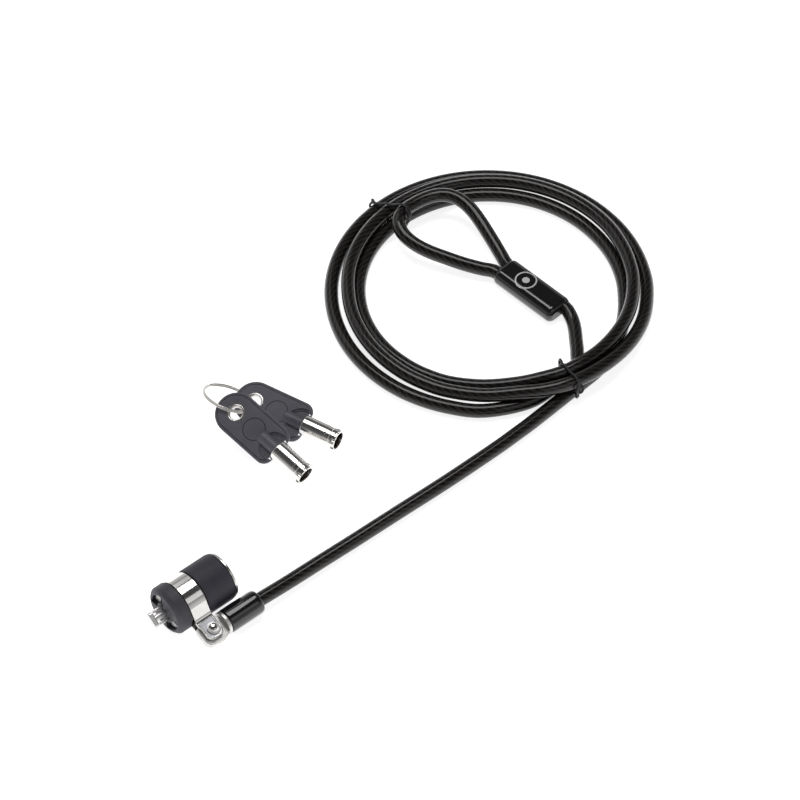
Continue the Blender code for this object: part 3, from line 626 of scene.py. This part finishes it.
def make_ferrule():
    """Glossy cover over the crimp, with a hole for each strand, and the plain ring printed on it."""
    side = Vector((math.cos(FERRULE_TURN), math.sin(FERRULE_TURN), 0))
    place = frame_of(placed(*FERRULE_CENTRE), side, Vector((0, 0, 1)))
    width, height, length = FERRULE_SIZE
    corner = height / 2
    shell = eased_block("ferrule", (-width / 2, -corner), (width / 2, corner), corner,
                        (-length / 2, length / 2), 2.3)
    cover = link("ferrule_shell", shell, place)
    hole = CABLE_R + 0.2
    cut(cover, [(rod("hole", hole, -20, 20), place @ shift(FERRULE_LOBE, 0, 0)),
                (rod("hole", hole, -20, -5), place @ shift(-FERRULE_LOBE, 0, 0))])
    dress(cover, GLOSS, "cable", "glossy_boot", "ferrule_cover", sharp=40)

    def on_shell(r, angle, lift):
        x, z = r * math.cos(angle), BADGE_PLACE + r * math.sin(angle)
        past = max(0.0, abs(x) - (width / 2 - corner))
        return Vector((x, math.sqrt(corner ** 2 - past ** 2) + lift, z)) * MM

    vertices, faces = [], []
    inner = BADGE_R - 0.6
    rings = ((inner, BADGE_SINK), (inner, BADGE_LIFT), (BADGE_R, BADGE_LIFT), (BADGE_R, BADGE_SINK))
    for r, lift in rings:
        vertices += [on_shell(r, 2 * math.pi * k / AROUND, lift) for k in range(AROUND)]
    for i in range(4):
        a, b = i * AROUND, (i + 1) % 4 * AROUND
        faces += [(a + k, a + (k + 1) % AROUND, b + (k + 1) % AROUND, b + k) for k in range(AROUND)]
    ring = link("ferrule_ring", solid("badge", vertices, faces), place)
    badge = dress(ring, BADGE, "cable", "glossy_boot")
    disc = rod("disc", 1.5, BADGE_SINK, BADGE_LIFT)
    up = place @ shift(0, corner, BADGE_PLACE) @ Matrix.Rotation(-math.pi / 2, 4, "X")
    dot = dress(link("ferrule_dot", disc, up), BADGE, "cable", "glossy_boot")
    return [cover, badge, dot]


# ---------------------------------------------------------------- lock head

def window_outline(side, gap, gap_angle):
    """One arc window of the nose, drawn in by a gap and, at its ends, by an angle in degrees."""
    middle = 0 if side > 0 else math.pi
    half = math.radians(WINDOW_HALF - gap_angle)
    outline = arc((0, 0), WINDOW_R[0] + gap, middle - half, middle + half, 20)
    return outline + arc((0, 0), WINDOW_R[1] - gap, middle + half, middle - half, 28)


def make_nose():
    """T-bar on its shaft, the guide pins beside it, and the moulded guard they stand in."""
    x, y = T_BAR_HALF
    bar = link("t_bar_head", eased_block("t_bar", (-x, -y), (x, y), 1.25, T_BAR_SPAN, 0.4), FACING)
    cut(bar, [(rod("shaft", SHAFT_R, -4.9, 18.7), FACING)], "UNION")
    dress(bar, STEEL, "spindle", "bright_steel", "t_bar")
    guard = link("nose_guard_skin", lathe("nose", [
        (0, 5.4), (NOSE_R, 5.4, 0.4), (NOSE_R, 1.4, 0.45), (NOSE_R - 1.4, 0, 0.45), (0, 0)]), FACING)
    cutters = [(rod("hole", SHAFT_R + 0.2, -1, 7), FACING)]
    for i, side in enumerate((1, -1)):
        across = FACING @ shift(side * PIN_PLACE, 0, 0)
        pin = lathe("pin", [(0, 5.0), (PIN_R, 5.0), (PIN_R, -3.8, 0.22), (0, -3.8)], steps=40)
        node = f"guide_pin_{i + 1}"
        dress(link(f"{node}_skin", pin, across), STEEL, "lock", "bright_steel", node)
        cutters.append((rod("hole", PIN_R + 0.15, -1, 7), across))
        cutters.append((plate("window", window_outline(side, 0, 0), -7, 7), FACING))
    cut(guard, cutters)
    ease_edges(guard, 0.3, 3, 50)
    dress(guard, NOSE_BLACK, "lock", "black_moulding", "nose_guard")


def turned_part(name, profile, paint, slot, node):
    dress(link(name, lathe(name, profile, closed=True), HEAD), paint, "lock", slot, node)


def make_barrel():
    """Lock body with the bosses seen in the nose's windows, grip, bezel and the ring round the keyway."""
    barrel = link("lock_body_skin", lathe("body", [
        (6.5, 25.9, 0.2), (8.0, 25.9, 0.3), (8.0, 5.7, 0.3), (1.45, 5.7, 0.2), (1.45, 8.4), (5.3, 8.4),
        (5.3, 21.0), (6.5, 21.0)], closed=True), HEAD)
    bosses = [(plate("boss", window_outline(side, 0.3, 4), BOSS_DEPTH, 6.2), FACING) for side in (1, -1)]
    cut(barrel, bosses, "UNION")
    dress(barrel, CAST, "lock", "satin_zinc", "lock_body")
    turned_part("grip_sleeve_skin", [
        (8.3, 26.0, 0.2), (9.6, 26.0, 1.0), (9.6, 13.7, 0.45), (8.3, 13.7, 0.2)], RUBBER, "matte_rubber",
        "grip_sleeve")
    turned_part("rear_bezel_skin", [
        (6.6, 27.3, 0.35), (9.4, 27.3, 0.75), (9.4, 26.2, 0.15), (6.6, 26.2, 0.1)], NICKEL,
        "polished_chrome", "rear_bezel")
    face = link("keyway_ring_skin", lathe("keyway", [
        (4.5, 27.1, 0.3), (6.2, 27.1, 0.25), (6.2, 21.3), (4.5, 21.3)], closed=True), HEAD)
    cut(face, [(box("notch", (4.0, -0.8, 25.0), (5.6, 0.8, 28.0)), HEAD)])
    dress(face, STEEL, "lock", "bright_steel", "keyway_ring")


def band_outline():
    """The band's section: two ears joined by a round band, with a small fillet where the ears bend off."""
    sides = []
    for radius, bend, out in ((BAND_R[0], EAR_BEND[0], EAR_IN), (BAND_R[1], EAR_BEND[1], EAR_OUT)):
        sides.append(math.atan2(out, bend) + math.acos(radius / math.hypot(bend, out)))
    inner, outer = sides
    full = 2 * math.pi
    outline = [(EAR_END, EAR_IN), (EAR_BEND[0], EAR_IN)]
    outline += arc((0, 0), BAND_R[0], inner, full - inner, 90)
    outline += [(EAR_BEND[0], -EAR_IN), (EAR_END, -EAR_IN), (EAR_END, -EAR_OUT)]
    outline += eased_bend(-1, outer)
    outline += arc((0, 0), BAND_R[1], full - outer, outer, 110)
    outline += reversed(eased_bend(1, outer))
    return outline + [(EAR_END, EAR_OUT)]


def eased_bend(side, tangent_angle):
    """The outer corner between an ear and the round band, as a short curve."""
    corner = Vector((EAR_BEND[1], side * EAR_OUT))
    touch = Vector((BAND_R[1] * math.cos(tangent_angle), side * BAND_R[1] * math.sin(tangent_angle)))
    a = corner + Vector((0.9, 0))
    b = corner + (touch - corner).normalized() * 0.9
    points = [a * (1 - t) ** 2 + corner * 2 * t * (1 - t) + b * t * t for t in (0, 0.25, 0.5, 0.75, 1)]
    return [(p.x, p.y) for p in points]


def make_collar():
    """Band with its ears and the satin panel let into the upper ear, washer and rivet."""
    low, high = BAND
    band = link("collar_band_skin", plate("band", band_outline(), low, high), HEAD)
    # A frame looking down on the ears: local X along the ears, local Y along the lock, local Z up.
    above = frame_of(NOSE, EAR, ALONG)
    keep = rounded_outline((-12, low - 1e-3), (EAR_END, high + 1e-3), (2.4, 2.4, 0.4, 0.4))
    cut(band, [(plate("keep", keep, -14, 14), above)], "INTERSECT")
    panel_end = EAR_END - PANEL_RIM
    panel_z = EAR_OUT - PANEL_DEPTH
    panel = rounded_outline((PANEL_START, low + PANEL_RIM), (panel_end, high - PANEL_RIM),
                            (1.9, 1.9, 0.5, 0.5))
    cut(band, [(plate("panel", panel, panel_z, 6), above), (rod("hole", RIVET_HOLE, -5, 5), FITTING)])
    ease_edges(band, 0.11, 2, 50)
    band.data.materials.append(CHROME)
    band.data.materials.append(PANEL)
    floor = NOSE - DOWN * panel_z * MM
    for face in band.data.polygons:
        centre = band.matrix_world @ face.center
        off = abs((centre - floor).dot(DOWN))
        in_panel = PANEL_START < (centre - NOSE).dot(EAR) / MM < panel_end
        if off < 0.02 * MM and in_panel:
            face.material_index = 1
    dress(band, CHROME, "collar", "polished_chrome", "collar_band")
    seat = panel_z + 0.02
    washer = lathe("washer", [
        (RIVET_HOLE, seat + 0.7, 0.1), (2.4, seat + 0.7, 0.25), (2.4, seat), (RIVET_HOLE, seat)],
        closed=True)
    dress(link("rivet_washer_skin", washer, UP_RIVET), STEEL, "collar", "bright_steel", "rivet_washer")
    base = 3.75
    rivet = lathe("rivet", [
        (0, base + 0.95), (1.15, base + 0.85, 0.5), (1.9, base + 0.1, 0.4), (1.5, base), (1.5, -3.2),
        (1.9, -3.2, 0.1), (1.6, -3.7, 0.2), (0, -3.7)])
    dress(link("collar_rivet_skin", rivet, UP_RIVET), CHROME, "collar", "bright_steel", "collar_rivet")


def make_fitting():
    """Tongue between the ears, flange and barrel in one piece, and the glossy boot over the barrel."""
    block = eased_block("tongue", (-5.2, -4.4), (5.3, 5.2), 3.0, (-1.6, 1.6), 0.35)
    tongue = link("cable_fitting_skin", block, FITTING)
    flange = lathe("flange", [(0, 6.2), (4.65, 6.2, 0.25), (4.65, 4.9, 0.25), (0, 4.9)])
    cut(tongue, [(flange, FITTING_AXIS), (rod("barrel", 3.2, 5.4, 15.7), FITTING_AXIS)], "UNION")
    slot = box("slot", (-1.2, 4.5, -0.3), (2.4, 6, 0.3))
    cut(tongue, [(rod("hole", RIVET_HOLE, -3, 3), FITTING), (slot, FITTING)])
    dress(tongue, ZINC, "cable", "satin_zinc", "cable_fitting")
    boot = lathe("boot", [
        (2.9, 21.5, 0.3), (4.75, 21.5, 2.2), (4.75, 6.5, 0.6), (3.4, 6.5), (3.4, 16.0), (2.9, 16.5)],
        closed=True)
    dress(link("cable_boot_skin", boot, FITTING_AXIS), GLOSS, "cable", "glossy_boot", "cable_boot")


# ---------------------------------------------------------------- keys

def bow_outline(inset):
    """The key's bow from above, drawn in by inset all round."""
    half = KEY_HALF - inset
    round_r = KEY_CORNER - inset * 0.6
    mouth = (KEY_END - 2.6, 0)
    mouth_r = KEY_MOUTH + inset * 0.6
    corner = (KEY_END - inset - round_r, round_r - half)
    end = 0.0
    while math.dist(arc(corner, round_r, end, end, 2)[0], mouth) < mouth_r + 0.05:
        end -= 0.01
    side = arc(corner, round_r, -math.pi / 2, end, 16)
    turn = math.atan2(side[-1][1], side[-1][0] - mouth[0])
    outline = arc((0, 0), half, math.pi / 2, math.pi * 3 / 2, 40) + side
    outline += arc(mouth, mouth_r, turn - 0.02, -2 * math.pi - turn + 0.02, 34)
    return outline + [(x, -y) for x, y in reversed(side)]


def make_key(number):
    """A moulded bow with a raised middle, its blank circle, metal eyelet and notched tube."""
    joint = JOINTS[f"key_{number}_swing"]
    eyelet = Vector(joint["pos_m"])
    up = Vector(joint["axis"]).normalized()
    low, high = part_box(f"key_{number}_tube")
    ahead = (low + high) / 2 - eyelet
    ahead = (ahead - up * ahead.dot(up)).normalized()
    place = frame_of(eyelet, ahead, up.cross(ahead))
    along = place @ Matrix.Rotation(math.pi / 2, 4, "Y")
    body = f"key_{number}"
    rim = eased_levels(-KEY_RIM_TOP, KEY_RIM_TOP, 0.22, 4)
    step = [(KEY_STEP + inset, z) for inset, z in eased_levels(-KEY_TOP, KEY_TOP, 0.28, 4)]
    outer = KEY_STEP - KEY_GROOVE
    groove = [(KEY_STEP, -KEY_GROOVE), (outer, -KEY_GROOVE), (outer, -KEY_RIM_TOP)]
    levels = step[:5] + groove + rim + [(inset, -z) for inset, z in reversed(groove)] + step[5:]
    head = link(f"{body}_bow", stack("bow", [(bow_outline(inset), z) for inset, z in levels]), place)
    web_y = KEY_HALF - 2.0
    web = plate("web", rounded_outline((12.0, -web_y), (21.4, web_y), (2.0,) * 4), -WEB_HALF, WEB_HALF)
    shank = lathe("shank", [(0, 24.3), (SHANK_R, 24.3), (SHANK_R, 13.2, 0.8), (0, 13.2)], steps=64)
    cut(head, [(web, place), (shank, along)], "UNION")
    cut(head, [(rod("seat", 3.1, -3, 3), place)])
    dress(head, KEY_GREY, body, "key_plastic", f"{body}_head")
    # The engraved circle is not cut: a thin ring in painted shade lies on the surface in its place.
    r0, r1 = CIRCLE_R
    circle = lathe("circle", [
        (r0, KEY_TOP + 0.03, 0.02), (r1, KEY_TOP + 0.03, 0.02), (r1, KEY_TOP - 0.1), (r0, KEY_TOP - 0.1)],
        closed=True)
    dress(link(f"{body}_circle", circle, place @ shift(CIRCLE_PLACE, 0, 0)), CIRCLE_SHADE, body, "key_plastic")
    upper = [(2.45, 0.7, 0.2), (2.9, 1.2, 0.2), (3.4, 1.16, 0.15), (3.4, 1.06), (2.95, 1.06)]
    profile = upper + [(r[0], -r[1], *r[2:]) for r in reversed(upper)]
    dress(link(f"{body}_eyelet_skin", lathe("eyelet", profile, closed=True), place), NICKEL, body, "nickel",
          f"{body}_eyelet")
    make_tube(body, along)


def make_tube(body, along):
    """Turned tube with the cuts that set the pins, and painted shade inside its bore."""
    tip, start = KEY_TIP, TUBE_START
    tube = link(f"{body}_barrel", lathe("tube", [
        (3.35, tip, 0.12), (4.25, tip, 0.3), (4.25, tip - 2.6, 0.15), (4.08, tip - 2.85),
        (4.08, tip - 4.6, 0.1), (4.2, tip - 4.8, 0.1), (4.2, start, 0.5), (2.85, start),
        (2.85, start + 2.8), (0, start + 2.8),
        (0, tip - 11), (3.35, tip - 11)]), along)
    notches = []
    for i, amount in enumerate(CUTS):
        angle = 2 * math.pi * (i + 0.5) / STATIONS
        spot = along @ Matrix.Rotation(angle, 4, "Z") @ shift(4.3, 0, 0)
        notches.append((rod("notch", 0.8, tip - 0.5 - amount / 2, tip + 1, 24), spot))
    cut(tube, notches)
    tube.data.materials.append(CHROME)
    tube.data.materials.append(BORE_SHADE)
    # Faces inside the bore take the painted shade.
    for face in tube.data.polygons:
        spot = face.center
        radial = math.hypot(spot.x, spot.y) / MM
        deep = tip - 11.2 < spot.z / MM < tip - 0.3
        if radial < 3.5 and deep and face.normal.dot(Vector((spot.x, spot.y, 0))) <= 0.0001 * MM:
            face.material_index = 1
    dress(tube, CHROME, body, "polished_chrome", f"{body}_tube")


def make_key_ring():
    """Split ring: two turns of fine wire, one upon the other, which change places on a short ramp."""
    normal = Vector(RING_NORMAL).normalized()
    place = Matrix.Translation(placed(*RING_CENTRE)) @ normal.to_track_quat("Z", "Y").to_matrix().to_4x4()
    points = []
    count = 280
    for i in range(count + 1):
        turn = 2 * i / count
        ramp = min(1.0, max(0.0, (turn - 0.94) / 0.12))
        lift = RING_LIFT * (2 * ramp * ramp * (3 - 2 * ramp) - 1)
        angle = 2 * math.pi * turn * 0.995
        points.append(place @ (Vector((RING_R * math.cos(angle), RING_R * math.sin(angle), lift)) * MM))
    ring = link("split_ring", sweep("split_ring", points, RING_WIRE, 12, tips=0.2))
    dress(ring, RING, "key_ring", "nickel", "key_ring", sharp=60)


def paint_inner_nodes():
    """The parts inside keep their CAD shapes and get their metals."""
    paints = {"tumbler": BRASS, "key_pin": BRASS, "driver_pin": STEEL, "tumbler_spring": STEEL,
              "crimp_sleeve": ALUMINIUM}
    for name, node in frame["nodes"].items():
        found = [start for start in paints if name.startswith(start)]
        if found:
            node.data.materials.clear()
            node.data.materials.append(paints[max(found, key=len)])


# ---------------------------------------------------------------- studio

def softbox(name, place, target, size, power):
    """A rectangular lamp at a point in metres, turned toward another."""
    lamp = bpy.data.lights.new(name, "AREA")
    lamp.shape = "RECTANGLE"
    lamp.size, lamp.size_y = size
    lamp.energy = power
    obj = bpy.data.objects.new(name, lamp)
    SCENE.collection.objects.link(obj)
    obj.location = place
    obj.rotation_euler = (Vector(target) - Vector(place)).to_track_quat("-Z", "Y").to_euler()


def make_studio():
    """Pale table, a grey room that darkens overhead, and three soft lamps."""
    mesh = bpy.data.meshes.new("floor")
    mesh.from_pydata([(-4, -4, 0), (4, -4, 0), (4, 4, 0), (-4, 4, 0)], [], [(0, 1, 2, 3)])
    floor = link("floor", mesh, shift(0, 0, -0.05))
    paper = Surface("white_paper", 0.7)
    soft = paper.spread(paper.noise(3), 0, 1)
    paper.join(paper.mix(soft, (0.93, 0.93, 0.93), (0.95, 0.95, 0.95)), paper.shader.inputs["Base Color"])
    paper.shader.inputs["Specular IOR Level"].default_value = 0.1
    paper.shader.inputs["Emission Color"].default_value = (1, 1, 1, 1)
    paper.shader.inputs["Emission Strength"].default_value = 0.80
    mesh.materials.append(paper.material)
    world = bpy.data.worlds.new("studio")
    SCENE.world = world
    world.use_nodes = True
    nodes, links = world.node_tree.nodes, world.node_tree.links
    ramp = nodes.new("ShaderNodeValToRGB")
    parts = nodes.new("ShaderNodeSeparateXYZ")
    links.new(nodes.new("ShaderNodeTexCoord").outputs["Generated"], parts.inputs["Vector"])
    links.new(parts.outputs["Z"], ramp.inputs["Fac"])
    ramp.color_ramp.elements[1].color = (0.05, 0.05, 0.053, 1)
    for place, level in ((0.0, 0.85), (0.3, 0.62), (0.55, 0.14)):
        stop = ramp.color_ramp.elements.new(place) if place else ramp.color_ramp.elements[0]
        stop.color = (level, level, level, 1)
    links.new(ramp.outputs["Color"], nodes["Background"].inputs["Color"])
    nodes["Background"].inputs["Strength"].default_value = 0.75
    middle = (0.02, 0.0, 0.0)
    softbox("key_light", (0.21, 0.24, 1.01), (-0.03, -0.04, 0), (0.70, 0.50), 4)
    softbox("back_light", (0.0, 0.85, 0.85), middle, (0.9, 0.5), 0.9)
    softbox("front_light", (0.2, -1.1, 1.0), middle, (0.9, 0.6), 1.1)


cable, cable_path, eye, eye_path = make_cable()
ties = make_ties()
ferrule = make_ferrule()
make_nose()
make_barrel()
make_collar()
make_fitting()
make_key(1)
make_key(2)
make_key_ring()
paint_inner_nodes()
make_studio()

SCENE.view_settings.view_transform = "Standard"
SCENE.view_settings.look = "None"
